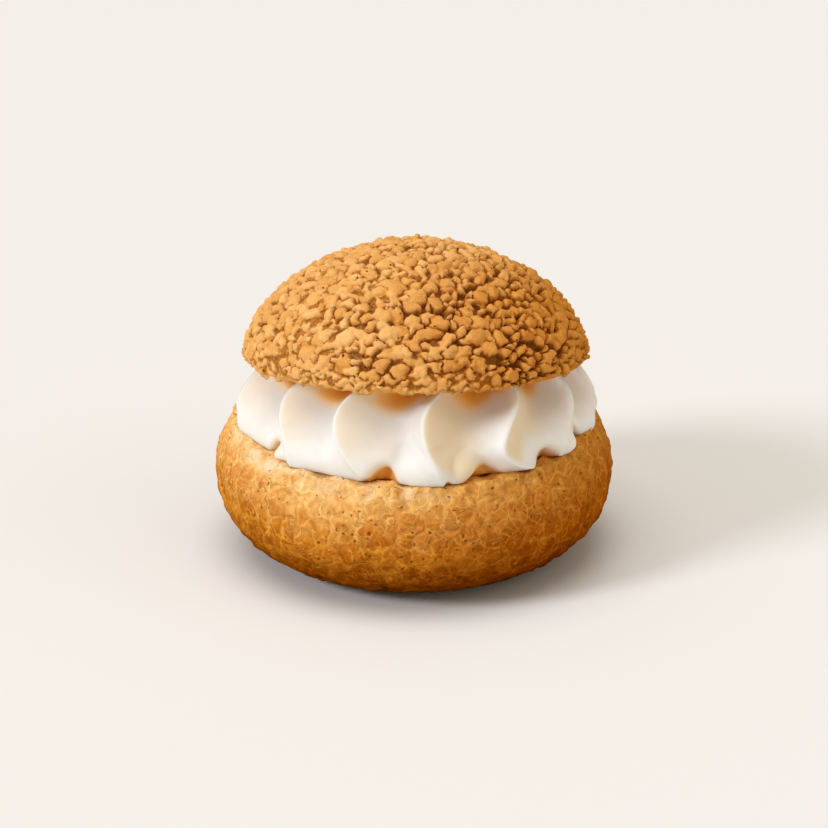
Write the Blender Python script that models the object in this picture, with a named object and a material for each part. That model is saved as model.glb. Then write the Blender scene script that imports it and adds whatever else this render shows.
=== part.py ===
"""Cream puff, cut across and filled: a bottom half of choux, piped whipped cream and a crackled lid.

Metres, +Z up. The origin is the middle of the flat foot, and -Y is the front, where the cut opens widest.
"""

import math
import random

import bmesh
import bpy
from mathutils import Matrix, Vector, noise
from mathutils.geometry import delaunay_2d_cdt

# Gap kept between two pieces that touch.
GAP = 0.0003

# Bottom half.
BASE_RADIUS = 0.0399
BASE_WAIST = 0.0165
FOOT_RADIUS = 0.0215
RIM_RADIUS = 0.0368
RIM_INNER_RADIUS = 0.0334
RIM_HEIGHT = 0.0279
RIM_ROUNDING = 0.0007
CUT_TILT = math.radians(3.4)
CAVITY_FLOOR = 0.0090
CAVITY_FLATNESS = 0.7
CAVITY_STEEPNESS = 1.3
UPPER_WALL_CURVE = 2.4
BASE_SEGMENTS = 64
LOWER_RINGS = 7
UPPER_RINGS = 5
CAVITY_RINGS = 4
BASE_LUMP = 0.00045
BASE_LUMP_SIZE = 0.0085

# Lid.
LID_RADIUS = 0.0341
LID_RISE = 0.0219
LID_FULLNESS = 1.84
LID_HEIGHT = 0.0397
LID_TILT = math.radians(-6.5)
LID_SHIFT = Vector((0.0003, 0.0, 0.0))
LIP_DROP = 0.0012
LIP_INNER_RADIUS = 0.0312
LID_HOLLOW = 0.0050
HOLLOW_RINGS = (1.0, 0.92, 0.6, 0.0)
NUGGETS = 900
NUGGET_JITTER = 0.011
LAST_NUGGET_SHARE = 0.985
RIM_POINTS = 92
NUGGET_HEIGHT = (0.00015, 0.00065)
CRACK_DEPTH = (0.0001, 0.00055)
RIM_RAGGED = 0.00045
LID_SEED = 7

# Cream. Each ridge: direction of its top from the front in degrees, how far its middle bows
# and how far its foot swings, in degrees too.
RIDGES = (
    (-71, -4, 1),
    (-48, -3, 1),
    (-18, -7, 3),
    (7, -6, -5),
    (34, -1, -6),
    (56, 3, -4),
    (79, 3, -1),
    (101, -4, 2),
    (125, -6, 3),
    (148, -3, 4),
    (173, -5, 1),
    (196, -6, 3),
    (219, -3, -3),
    (243, -5, 4),
    (266, -4, 2),
)
STEPS_PER_RIDGE = 8
SIDE_RINGS = 8
RING_CROWDING = 1.25
CREAM_RADIUS = 0.0362
CREAM_TOP_RADIUS = 0.0298
CREAM_FOOT_RADIUS = 0.0355
CREAM_SHIFT = 0.0004
FOOT_SHARE = 0.16
VALLEY_DEPTH_TOP = 0.0046
VALLEY_DEPTH_FOOT = 0.0024
VALLEY_FULL_RISE = 0.7
VALLEY_LIFT = 0.0016
RIDGE_ROUNDNESS_TOP = 0.85
RIDGE_ROUNDNESS_FOOT = 1.7
TOP_CURVE = 1.6
CAP_RINGS = (0.0, 0.45, 0.8, 0.955)

COLOURS = {
    "base": ((0.62, 0.27, 0.055), 0.55),
    "cream": ((0.93, 0.89, 0.82), 0.45),
    "lid": ((0.68, 0.36, 0.10), 0.7),
}


def clear_scene():
    for obj in list(bpy.data.objects):
        bpy.data.objects.remove(obj)


def mix(a, b, share):
    return a + (b - a) * share


def smooth_step(value):
    value = max(0.0, min(1.0, value))
    return value * value * (3 - 2 * value)


def around(radius, turn, height=0.0):
    """A point at that distance from the axis. turn is 0 at the front and grows towards +X."""
    return Vector((radius * math.sin(turn), -radius * math.cos(turn), height))


def lid_frame():
    """From the lid's own frame, whose z = 0 is the underside of its lip, to the object's."""
    return Matrix.Translation(LID_SHIFT + Vector((0, 0, LID_HEIGHT))) @ Matrix.Rotation(LID_TILT, 4, "X")


def lean_with_cut(point):
    """The cut slopes down to the front; the slope dies out towards the foot."""
    share = smooth_step(point.z / RIM_HEIGHT)
    return point + Vector((0, 0, point.y * math.tan(CUT_TILT) * share))


def shaped_sphere(name, segments, rings, place):
    """A sphere's grid from pole to pole, each point moved to place(ring, step)."""
    bpy.ops.mesh.primitive_uv_sphere_add(segments=segments, ring_count=rings, radius=1)
    obj = bpy.context.object
    obj.name = name
    for vertex in obj.data.vertices:
        ring = round(math.acos(max(-1.0, min(1.0, vertex.co.z))) / math.pi * rings)
        step = round(math.atan2(vertex.co.y, vertex.co.x) / math.tau * segments) % segments
        vertex.co = place(ring, step)
    return obj


def cavity_profile():
    """(radius, height) from the middle of the hollow's floor up to the inner edge of the rim."""
    wall = RIM_HEIGHT - RIM_ROUNDING - CAVITY_FLOOR
    points = [(0.0, CAVITY_FLOOR)]
    for i in range(1, CAVITY_RINGS + 1):
        angle = math.pi / 2 * i / CAVITY_RINGS
        radius = RIM_INNER_RADIUS * math.sin(angle) ** CAVITY_FLATNESS
        points.append((radius, CAVITY_FLOOR + wall * (1 - math.cos(angle)) ** CAVITY_STEEPNESS))
    return points


def rim_profile():
    """The cut rim, from its inner edge to its outer one, with both edges rounded."""
    middle = mix(RIM_INNER_RADIUS, RIM_RADIUS, 0.55)
    return [
        (RIM_INNER_RADIUS + RIM_ROUNDING, RIM_HEIGHT - RIM_ROUNDING * 0.2),
        (middle, RIM_HEIGHT),
        (RIM_RADIUS - RIM_ROUNDING, RIM_HEIGHT - RIM_ROUNDING * 0.4),
    ]


def outside_profile():
    """Down the outer wall: in a steepening curve to the waist, then round and under to the foot."""
    edge = RIM_HEIGHT - 2 * RIM_ROUNDING
    points = []
    for i in range(UPPER_RINGS):
        share = 1 - i / UPPER_RINGS
        radius = BASE_RADIUS - (BASE_RADIUS - RIM_RADIUS) * share**UPPER_WALL_CURVE
        points.append((radius, mix(BASE_WAIST, edge, share)))
    for i in range(LOWER_RINGS):
        angle = math.pi / 2 * i / LOWER_RINGS
        radius = FOOT_RADIUS + (BASE_RADIUS - FOOT_RADIUS) * math.cos(angle)
        points.append((radius, BASE_WAIST * (1 - math.sin(angle))))
    points.append((FOOT_RADIUS, 0.0))
    points.append((0.0, 0.0))
    return points


def make_base():
    inside = cavity_profile()
    profile = inside + rim_profile() + outside_profile()

    def place(ring, step):
        radius, height = profile[ring]
        point = around(radius, math.tau * step / BASE_SEGMENTS, height)
        if ring > len(inside):
            bump = noise.noise(point / BASE_LUMP_SIZE) * BASE_LUMP * smooth_step(height / BASE_WAIST)
            point += point.normalized() * bump
        return lean_with_cut(point)

    return shaped_sphere("base", BASE_SEGMENTS, len(profile) - 1, place)


def hollow_height(radius):
    """Height of the lid's underside in the lid's frame: a shallow bowl of flat rings."""
    place = radius / LIP_INNER_RADIUS
    for outer, inner in zip(HOLLOW_RINGS, HOLLOW_RINGS[1:]):
        if inner <= place <= outer:
            return LID_HOLLOW * mix(1 - outer**2, 1 - inner**2, (outer - place) / (outer - inner))
    return 0.0


def crest_radius(rise):
    """Radius of the cream's ridges from the rim (rise 0) to the lid (rise 1)."""
    if rise < FOOT_SHARE:
        return mix(CREAM_FOOT_RADIUS, CREAM_RADIUS, math.sin(math.pi / 2 * rise / FOOT_SHARE))
    share = (rise - FOOT_SHARE) / (1 - FOOT_SHARE)
    return mix(CREAM_RADIUS, CREAM_TOP_RADIUS, share**TOP_CURVE)


def ridge_turn(index, rise):
    """Direction of a ridge at that rise, in radians from the front."""
    laps, index = divmod(index, len(RIDGES))
    top, bow, swing = RIDGES[index]
    down = 1 - rise
    return math.radians(360 * laps + top + bow * math.sin(math.pi * down) + swing * down**2)


def valley_share(between, rise):
    """0 on a ridge and 1 in the middle of the valley beside it. Ridges are sharper the higher they are."""
    return math.sin(math.pi * between) ** mix(RIDGE_ROUNDNESS_FOOT, RIDGE_ROUNDNESS_TOP, rise)


def make_cream():
    side = [(1 - i / SIDE_RINGS) ** RING_CROWDING for i in range(SIDE_RINGS + 1)]
    first_side = len(CAP_RINGS)
    first_inner = first_side + len(side)
    cavity = cavity_profile()[::-1]
    ring_count = first_inner + len(cavity)
    lid = lid_frame()

    def place(ring, step):
        ridge, between = divmod(step / STEPS_PER_RIDGE, 1)
        rise = side[max(0, min(len(side) - 1, ring - first_side))]
        groove = valley_share(between, rise)
        turn = mix(ridge_turn(int(ridge), rise), ridge_turn(int(ridge) + 1, rise), between)
        depth = mix(VALLEY_DEPTH_FOOT, VALLEY_DEPTH_TOP, smooth_step(rise / VALLEY_FULL_RISE)) * groove
        if ring < first_side:
            radius = (CREAM_TOP_RADIUS - depth) * CAP_RINGS[ring]
            return lid @ around(radius, turn, hollow_height(radius) - GAP)
        if ring < first_inner:
            radius = crest_radius(rise) - depth
            low = lean_with_cut(around(radius, turn, RIM_HEIGHT))
            low.z += GAP + VALLEY_LIFT * groove
            high = lid @ around(radius, turn, -GAP)
            return low.lerp(high, rise) + Vector((CREAM_SHIFT, 0, 0))
        if ring == first_inner:
            return lean_with_cut(around(RIM_INNER_RADIUS - GAP, turn, RIM_HEIGHT)) + Vector((0, 0, GAP))
        radius, height = cavity[ring - first_inner - 1]
        return lean_with_cut(around(max(0.0, radius - GAP), turn, height + GAP))

    return shaped_sphere("cream", STEPS_PER_RIDGE * len(RIDGES), ring_count, place)


def dome_point(share):
    """(radius, height) on the lid's outline, share 0 at its top and 1 at its widest."""
    angle = math.pi / 2 * (1 - share)
    power = 2 / LID_FULLNESS
    return LID_RADIUS * math.cos(angle) ** power, LIP_DROP + LID_RISE * math.sin(angle) ** power


def dome_shares(count):
    """Shares along the outline that split the dome into rings of equal area."""
    samples = 2000
    total, areas = 0.0, [0.0]
    for i in range(samples):
        (r0, z0), (r1, z1) = dome_point(i / samples), dome_point((i + 1) / samples)
        total += (r0 + r1) / 2 * math.hypot(r1 - r0, z1 - z0)
        areas.append(total)
    shares, place = [], 0
    for i in range(count):
        while areas[place + 1] < total * (i + 0.5) / count:
            place += 1
        shares.append(place / samples)
    return shares


def nugget_layout():
    """A flat point for each nugget, at its share of the outline, spread like sunflower seeds."""
    draw = random.Random(LID_SEED)
    golden = math.pi * (3 - math.sqrt(5))
    spots = []
    for i, share in enumerate(dome_shares(NUGGETS)):
        turn = i * golden + draw.uniform(-NUGGET_JITTER, NUGGET_JITTER) / max(share, 0.02)
        share = min(LAST_NUGGET_SHARE, max(0.0, share + draw.uniform(-NUGGET_JITTER, NUGGET_JITTER)))
        spots.append(Vector((share * math.cos(turn), share * math.sin(turn))))
    return spots


def make_lid():
    draw = random.Random(LID_SEED + 1)
    spots = nugget_layout()
    edge = [around(1, math.tau * i / RIM_POINTS).xy for i in range(RIM_POINTS)]
    flat, _, faces, *_ = delaunay_2d_cdt(spots + edge, [], [], 0, 1e-7)
    bm = bmesh.new()
    verts = [bm.verts.new((p.x, p.y, 0)) for p in flat]
    for face in faces:
        bm.faces.new([verts[i] for i in face])
    centres = set(verts)
    inner_edges = [e for e in bm.edges if not e.is_boundary]
    bmesh.ops.poke(bm, faces=bm.faces[:])
    bmesh.ops.rotate_edges(bm, edges=inner_edges, use_ccw=False)
    for vertex in bm.verts:
        raise_nugget(vertex, vertex in centres, draw)
    close_underside(bm)
    bmesh.ops.recalc_face_normals(bm, faces=bm.faces)
    bm.transform(lid_frame())
    mesh = bpy.data.meshes.new("lid")
    bm.to_mesh(mesh)
    bm.free()
    obj = bpy.data.objects.new("lid", mesh)
    bpy.context.scene.collection.objects.link(obj)
    return obj


def raise_nugget(vertex, is_centre, draw):
    """Moves a point of the flat layout onto the dome: nuggets stand up, the cracks between them sink."""
    share = min(1.0, math.hypot(vertex.co.x, vertex.co.y))
    turn = math.atan2(vertex.co.y, vertex.co.x)
    radius, height = dome_point(share)
    ahead, behind = dome_point(min(1.0, share + 0.01)), dome_point(max(0.0, share - 0.01))
    outward = Vector((behind[1] - ahead[1], ahead[0] - behind[0])).normalized()
    if vertex.is_boundary:
        move = draw.uniform(-RIM_RAGGED, RIM_RAGGED)
    elif is_centre:
        move = draw.uniform(*NUGGET_HEIGHT)
    else:
        move = -draw.uniform(*CRACK_DEPTH)
    radius += outward.x * move
    vertex.co = Vector((radius * math.cos(turn), radius * math.sin(turn), height + outward.y * move))


def close_underside(bm):
    """Turns the rim under and closes it with the shallow hollow of the underside."""
    loop = [e for e in bm.edges if e.is_boundary]
    rings = [
        (LID_RADIUS - 0.0006, LIP_DROP * 0.3),
        (LID_RADIUS - 0.0016, 0.0),
        (LIP_INNER_RADIUS + 0.0006, 0.0),
    ]
    rings += [(LIP_INNER_RADIUS * k, hollow_height(LIP_INNER_RADIUS * k)) for k in HOLLOW_RINGS[1:-1]]
    for radius, height in rings:
        grown = bmesh.ops.extrude_edge_only(bm, edges=loop)["geom"]
        loop = [e for e in grown if isinstance(e, bmesh.types.BMEdge) and e.is_boundary]
        for vertex in {v for e in loop for v in e.verts}:
            flat = Vector((vertex.co.x, vertex.co.y, 0)).normalized()
            vertex.co = flat * radius + Vector((0, 0, height))
    grown = bmesh.ops.edgeloop_fill(bm, edges=loop)["faces"]
    middle = bmesh.ops.poke(bm, faces=grown)["verts"][0]
    middle.co = Vector((0, 0, hollow_height(0)))


def give_material(obj):
    colour, roughness = COLOURS[obj.name]
    material = bpy.data.materials.new(obj.name)
    material.use_nodes = True
    shader = material.node_tree.nodes["Principled BSDF"]
    shader.inputs["Base Color"].default_value = (*colour, 1)
    shader.inputs["Roughness"].default_value = roughness
    shader.inputs["Metallic"].default_value = 0
    obj.data.materials.clear()
    obj.data.materials.append(material)


def main():
    clear_scene()
    puff = bpy.data.collections.new("cream_puff")
    bpy.context.scene.collection.children.link(puff)
    for obj in (make_base(), make_cream(), make_lid()):
        for holder in list(obj.users_collection):
            holder.objects.unlink(obj)
        puff.objects.link(obj)
        obj.data.shade_smooth()
        give_material(obj)


main()
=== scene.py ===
import math

import bmesh
import bpy
import numpy as np
from mathutils import Matrix, Vector, kdtree, noise


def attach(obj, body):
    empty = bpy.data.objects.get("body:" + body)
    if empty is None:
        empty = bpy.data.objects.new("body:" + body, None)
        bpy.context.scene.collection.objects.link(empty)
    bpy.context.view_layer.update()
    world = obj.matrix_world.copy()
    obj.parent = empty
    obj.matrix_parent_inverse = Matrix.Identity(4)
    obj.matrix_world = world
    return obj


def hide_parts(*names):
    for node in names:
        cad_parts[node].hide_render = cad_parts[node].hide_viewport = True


# Looks of a crackled cream puff, in metres. The front is -Y; a turn is 0 there and grows towards +X.
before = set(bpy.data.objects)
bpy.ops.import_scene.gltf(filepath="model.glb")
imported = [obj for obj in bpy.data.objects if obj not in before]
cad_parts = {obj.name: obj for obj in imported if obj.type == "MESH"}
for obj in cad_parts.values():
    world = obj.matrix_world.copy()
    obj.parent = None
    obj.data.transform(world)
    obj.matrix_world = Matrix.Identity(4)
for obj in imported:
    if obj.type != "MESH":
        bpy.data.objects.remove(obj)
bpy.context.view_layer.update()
noise.seed_set(4)  # noise_vector draws its offsets from the clock otherwise

view = {
    "frameWidth": 0.16707,  # how much the picture's width shows at the bun
    "distance": 0.42,
    "lookDown": 20.5,
    "aim": (0.0, 0.0, 0.0272),
}

shadedSide = {"shadedTurn": 75, "least": 0.2, "swing": 0.75}  # painted shade: the crust's colour darkens towards the side turned away from the key light


def mixed(a, b, share):
    return a + (b - a) * share


def eased(value):
    value = np.clip(value, 0.0, 1.0)
    return value * value * (3 - 2 * value)


def shoulder(value):  # rises fast, then levels out like a rounded edge
    value = np.clip(value, 0.0, 1.0)
    return np.sqrt(1 - (1 - value) ** 2)


def paint(red, green, blue):  # screen colour, 0 to 255, as the shaders' linear one
    linear = [((c / 255 + 0.055) / 1.055) ** 2.4 if c > 10 else c / 3294 for c in (red, green, blue)]
    return (*linear, 1.0)


def noiseAt(points, size, height, offset=0.0):
    return np.array([noise.noise(p) for p in (points / size + offset).tolist()]) * height


def noisesAt(points, rows):
    return sum(noiseAt(points, *row) for row in rows)


def driftAt(points, size, reach, offset=0.0):
    return np.array([noise.noise_vector(p) for p in (points / size + offset).tolist()]) * reach


def around(radius, turn, height):
    return np.stack([radius * np.sin(turn), -radius * np.cos(turn), height], axis=1)


def warpedBy(warps, points):
    moved = points
    for warp in warps:
        moved = moved + driftAt(points, *warp)
    return moved


def unitRows(rows):
    return rows / np.maximum(np.linalg.norm(rows, axis=1, keepdims=True), 1e-12)


def corners(mesh):
    flat = np.empty(len(mesh.vertices) * 3)
    mesh.vertices.foreach_get("co", flat)
    return flat.reshape(-1, 3)


def setCorners(mesh, points):
    mesh.vertices.foreach_set("co", points.ravel())
    mesh.update()


def setValue(mesh, name, values):
    layer = mesh.attributes.new(name, "FLOAT", "POINT")
    layer.data.foreach_set("value", np.asarray(values, dtype=np.float32))


# painted shade: how much the colour darkens, most on the side away from the key light and none on the lit
# side
def shadedSideAt(turn):
    return eased(shadedSide["least"] + shadedSide["swing"] * np.cos(turn - math.radians(shadedSide["shadedTurn"])))


def asObject(name, bm):
    mesh = bpy.data.meshes.new(name)
    bm.to_mesh(mesh)
    bm.free()
    piece = bpy.data.objects.new(name, mesh)
    bpy.context.scene.collection.objects.link(piece)
    mesh.shade_smooth()
    return piece


def settleOrder(bm):  # cutting leaves holes in the order of the corners
    mesh = bpy.data.meshes.new("sorted")
    bm.to_mesh(mesh)
    bm.clear()
    bm.from_mesh(mesh)
    bpy.data.meshes.remove(mesh)


def spacedSeeds(points, sizes, closeness):
    # keeps each point that is far enough from all kept before it
    kept, keptSizes, count = np.empty_like(points), np.empty_like(sizes), 0
    for point, size in zip(points, sizes):
        gaps = np.linalg.norm(kept[:count] - point, axis=1)
        if (gaps >= (keptSizes[:count] + size) * closeness).all():
            kept[count], keptSizes[count] = point, size
            count += 1
    return kept[:count], keptSizes[:count]


def nearestCells(points, seeds, count):
    tree = kdtree.KDTree(len(seeds))
    for index, seed in enumerate(seeds.tolist()):
        tree.insert(seed, index)
    tree.balance()
    return np.array([[hit[1] for hit in tree.find_n(p, count)] for p in points.tolist()])


def newMaterial(name):
    material = bpy.data.materials.new(name)
    material.use_nodes = True
    return material, material.node_tree, material.node_tree.nodes["Principled BSDF"]


def newGroup(name, inputs, outputs):
    group = bpy.data.node_groups.new(name, "ShaderNodeTree")
    for socketName, value in inputs.items():
        socket = group.interface.new_socket(socketName, in_out="INPUT", socket_type="NodeSocketFloat")
        socket.default_value = value
    for socketName in outputs:
        group.interface.new_socket(socketName, in_out="OUTPUT", socket_type="NodeSocketFloat")
    return group, group.nodes.new("NodeGroupInput").outputs, group.nodes.new("NodeGroupOutput").inputs


def useGroup(tree, group, **values):
    node = tree.nodes.new("ShaderNodeGroup")
    node.node_tree = group
    for socket, value in values.items():
        node.inputs[socket].default_value = value
    return node.outputs


def addNode(tree, kind, values, **settings):
    # values are numbers, colours or other nodes' outputs
    node = tree.nodes.new(kind)
    for key, value in settings.items():
        setattr(node, key, value)
    for socket, value in values.items():
        if hasattr(value, "is_output"):
            tree.links.new(value, node.inputs[socket])
        else:
            node.inputs[socket].default_value = value
    return node.outputs


def attribute(tree, name):
    return addNode(tree, "ShaderNodeAttribute", {}, attribute_name=name)["Fac"]


def objectPlace(tree):
    return addNode(tree, "ShaderNodeTexCoord", {})["Object"]


def remap(tree, value, low, high, first=0.0, last=1.0):
    return addNode(tree, "ShaderNodeMapRange", {0: value, 1: low, 2: high, 3: first, 4: last})[0]


def reckon(tree, operation, a, b=0.0):
    return addNode(tree, "ShaderNodeMath", {0: a, 1: b}, operation=operation)[0]


def plus(tree, a, b):
    return reckon(tree, "ADD", a, b)


def minus(tree, a, b):
    return reckon(tree, "SUBTRACT", a, b)


def times(tree, a, b):
    return reckon(tree, "MULTIPLY", a, b)


def larger(tree, a, b):
    return reckon(tree, "MAXIMUM", a, b)


def vectorMath(tree, operation, a, b):
    return addNode(tree, "ShaderNodeVectorMath", {0: a, 1: b}, operation=operation)


def noiseTexture(tree, place, scale, detail=2.0, roughness=0.5):
    values = {"Vector": place, "Scale": scale, "Detail": detail, "Roughness": roughness}
    return addNode(tree, "ShaderNodeTexNoise", values)


def cellTexture(tree, place, scale, feature="F1"):
    return addNode(tree, "ShaderNodeTexVoronoi", {"Vector": place, "Scale": scale}, feature=feature)


def separated(tree, colour):
    return addNode(tree, "ShaderNodeSeparateColor", {0: colour})


def blendColour(tree, share, first, second, kind="MIX"):
    values = {0: share, 6: first, 7: second}
    return addNode(tree, "ShaderNodeMix", values, data_type="RGBA", blend_type=kind)[2]


def painted(tree, colour, coats):
    # lays one colour after another on, each where its mask is 1
    for mask, coat in coats:
        colour = blendColour(tree, mask, colour, paint(*coat))
    return colour


def ramp(tree, value, stops):
    node = tree.nodes.new("ShaderNodeValToRGB")
    tree.links.new(value, node.inputs[0])
    marks = node.color_ramp.elements
    while len(marks) < len(stops):
        marks.new(0.5)
    for mark, (place, colour) in zip(marks, stops):
        mark.position = place
        mark.color = paint(*colour)
    return node.outputs[0]


def bumped(tree, bumps):
    # stacks bumps: the height, the strength and how far it stands out in metres
    normal = None
    for height, strength, distance in bumps:
        values = {"Strength": strength, "Distance": distance, "Height": height}
        if normal:
            values["Normal"] = normal
        normal = addNode(tree, "ShaderNodeBump", values)["Normal"]
    return normal


def makeGrainGroup():
    # fine crumb: masks of small grains and of larger mottles, and the height they give the surface
    inputs = {"Fine": 1000.0, "Coarse": 1000.0}
    group, entry, leave = newGroup("bakedGrain", inputs, ("Grain", "Mottle", "Height"))
    place = objectPlace(group)
    fine = noiseTexture(group, place, entry["Fine"], 2.0, 0.6)["Fac"]
    coarse = noiseTexture(group, place, entry["Coarse"], 3.0, 0.55)["Fac"]
    group.links.new(remap(group, fine, 0.35, 0.65), leave["Grain"])
    group.links.new(remap(group, coarse, 0.3, 0.7), leave["Mottle"])
    group.links.new(plus(group, fine, times(group, coarse, 0.6)), leave["Height"])
    return group


def makePitGroup():
    # scattered pin holes: a mask that is 1 inside a hole
    group, entry, leave = newGroup("pinHoles", {"Scale": 400.0, "Width": 0.2, "Share": 0.5}, ("Hole",))
    place = objectPlace(group)
    warp = noiseTexture(group, place, 900.0)["Color"]
    moved = vectorMath(group, "MULTIPLY", warp, (0.0013, 0.0013, 0.0013))[0]
    cells = cellTexture(group, vectorMath(group, "ADD", place, moved)[0], entry["Scale"])
    inside = reckon(group, "LESS_THAN", cells["Distance"], entry["Width"])
    core = times(group, entry["Width"], 0.6)
    soft = remap(group, cells["Distance"], entry["Width"], core)
    chosen = reckon(group, "LESS_THAN", separated(group, cells["Color"])[0], entry["Share"])
    group.links.new(times(group, times(group, inside, soft), chosen), leave["Hole"])
    return group


def makeSkinGroup():
    # dry skin in cells: the thin raised line between them in patches, short curled strokes, how far inside
    # a cell, each cell's own tone and a tilted height
    inputs = {"Cells": 350.0, "Width": 0.06, "Warp": 0.001, "Shown": 0.45}
    group, entry, leave = newGroup("crackedSkin", inputs, ("Line", "Stroke", "Inner", "Tone", "Tilt"))
    place = objectPlace(group)
    middle = (0.5, 0.5, 0.5)
    centred = vectorMath(group, "SUBTRACT", noiseTexture(group, place, 420.0, 1.0)["Color"], middle)[0]
    warpValues = {0: centred, "Scale": entry["Warp"]}
    moved = addNode(group, "ShaderNodeVectorMath", warpValues, operation="SCALE")[0]
    spot = vectorMath(group, "ADD", place, moved)[0]
    edge = cellTexture(group, spot, entry["Cells"], "DISTANCE_TO_EDGE")["Distance"]
    lineValues = {0: edge, 1: 0.0, 2: entry["Width"], 3: 1.0, 4: 0.0}
    line = addNode(group, "ShaderNodeMapRange", lineValues, interpolation_type="SMOOTHSTEP")[0]
    patches = noiseTexture(group, spot, 330.0, 1.0)["Fac"]
    shown = remap(group, minus(group, patches, entry["Shown"]), 0.0, 0.1)
    group.links.new(times(group, line, shown), leave["Line"])
    swirl = noiseTexture(group, spot, entry["Cells"], 1.0, 0.4)["Fac"]
    curled = remap(group, reckon(group, "ABSOLUTE", minus(group, swirl, 0.5)), 0.006, 0.04, 1.0, 0.0)
    broken = remap(group, noiseTexture(group, place, 760.0, 0.0)["Fac"], 0.5, 0.58)
    group.links.new(times(group, curled, broken), leave["Stroke"])
    cells = cellTexture(group, spot, entry["Cells"])
    leaning = vectorMath(group, "SUBTRACT", cells["Color"], middle)[0]
    away = vectorMath(group, "SUBTRACT", spot, cells["Position"])[0]
    tilt = times(group, vectorMath(group, "DOT_PRODUCT", away, leaning)["Value"], entry["Cells"])
    inner = remap(group, edge, 0.0, 0.28)
    group.links.new(inner, leave["Inner"])
    group.links.new(times(group, tilt, inner), leave["Tilt"])
    group.links.new(separated(group, cells["Color"])[1], leave["Tone"])
    return group


grainGroup = makeGrainGroup()
pitGroup = makePitGroup()
skinGroup = makeSkinGroup()


lid = {
    "radius": 0.0341,
    "rise": 0.0228,
    "fullness": 1.84,
    "height": 0.0397,
    "tilt": -6.5,
    "shift": (0.0003, 0.0, 0.0),
    "lipDrop": 0.0003,
    "lipInner": 0.0312,
    "hollow": 0.0050,
    "hollowRings": (1.0, 0.92, 0.6, 0.0),
    "lipRings": ((0.0006, 0.0002), (0.0015, 0.0)),  # how far in from the hem, and height
    "lipWobble": (22, 0.00025),
    "fineness": 8,
    "tableRows": 3001,
    "slopeStep": 0.004,
    "chunkTries": 12000,
    "chunkHalf": (0.00076, 0.0016),
    "chunkSides": 5,
    "chunkCorners": 7,  # the higher, the sharper the corners
    "neighbours": 12,
    "uneven": 0.32,  # how far a chunk's corners stray from even steps round it
    "cornerReach": (0.72, 1.12),
    "closeness": 0.84,
    "overlap": 1.54,
    "stretch": (1.0, 1.9),
    "edgeRound": (0.00048, 0.0007),
    "crackHalf": 0.00013,
    "fused": (0.12, 0.8),
    "fusedBlend": 0.0005,
    "seam": 0.00025,
    "chunkHeight": (0.0002, 0.0009),
    "chunkTilt": 0.2,
    "mostTilt": 0.0004,
    "chunkDome": 0.0008,
    "floorDepth": 0.0015,
    "hemShare": 0.98,  # the smooth hem starts this far down the dome
    "hemFade": 0.014,
    "hemHeight": -0.0004,
    "softTurn": -60,
    # noises: size, height and offset
    "chunkWarps": ((0.0019, 0.0007), (0.0008, 0.00034, 5.3)),
    "softPatches": (0.011, 0.8, 2.2),
    "floorRough": (0.0012, 0.00022, 3.1),
    "fineRough": ((0.0010, 0.00008, 7.7), (0.00045, 0.00006, 1.7)),
    "hemRough": (0.0016, 0.0003, 6.1),
    "hemWaves": ((0.0028, 0.0013, 9.0), (0.0010, 0.0005, 9.0)),
    "seed": 11,
}


def lidPlace():
    up = Vector((0, 0, lid["height"]))
    tilted = Matrix.Rotation(math.radians(lid["tilt"]), 4, "X")
    return Matrix.Translation(Vector(lid["shift"]) + up) @ tilted


def domeOutline(share):
    angle = math.pi / 2 * (1 - share)
    power = 2 / lid["fullness"]
    return (lid["radius"] * np.cos(angle) ** power, lid["lipDrop"] + lid["rise"] * np.sin(angle) ** power)


def domeTable():
    shares = np.linspace(0, 1, lid["tableRows"])
    radius, height = domeOutline(shares)
    step = np.hypot(np.diff(radius), np.diff(height))
    area = np.concatenate([[0], np.cumsum((radius[1:] + radius[:-1]) / 2 * step)])
    return shares, area / area[-1]


def onDome(areaShare, turn):
    # place and outward direction for a share of the dome's area, 0 at its top
    shares, areas = domeTable()
    share = np.interp(areaShare, areas, shares)
    radius, height = domeOutline(share)
    ahead = domeOutline(np.minimum(share + lid["slopeStep"], 1))
    behind = domeOutline(np.maximum(share - lid["slopeStep"], 0))
    slope = unitRows(np.stack([behind[1] - ahead[1], ahead[0] - behind[0]], axis=1))
    return around(radius, turn, height), around(slope[:, 0], turn, slope[:, 1])


def hollowHeight(radius):
    rings = [lid["lipInner"] * r for r in lid["hollowRings"]][::-1]
    heights = [lid["hollow"] * (1 - r * r) for r in lid["hollowRings"]][::-1]
    return np.interp(radius, rings, heights)


def chunkSeeds(draw):
    # small chunks near the hem, all sizes above it
    count = lid["chunkTries"]
    share = np.minimum(draw.random(count) * 1.04, 1)
    points = onDome(share, draw.random(count) * math.tau)[0]
    low, high = lid["chunkHalf"]
    sizes = (low + (high - low) * draw.random(count) ** 1.5) * mixed(1, 0.7, eased((share - 0.75) / 0.2))
    seeds, sizes = spacedSeeds(points, sizes, lid["closeness"])
    return seeds, sizes, unitRows(seeds - np.array([0, 0, -0.012]))


def softness(points, share):
    # 1 where the chunks have melted together, mostly at the left of the lid and along its hem
    turn = np.arctan2(points[:, 0], -points[:, 1]) - math.radians(lid["softTurn"])
    hem = eased((share - 0.86) / 0.1) * 0.35
    return eased(0.42 * np.cos(turn) + 0.32 + noiseAt(points, *lid["softPatches"]) + hem)


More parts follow.
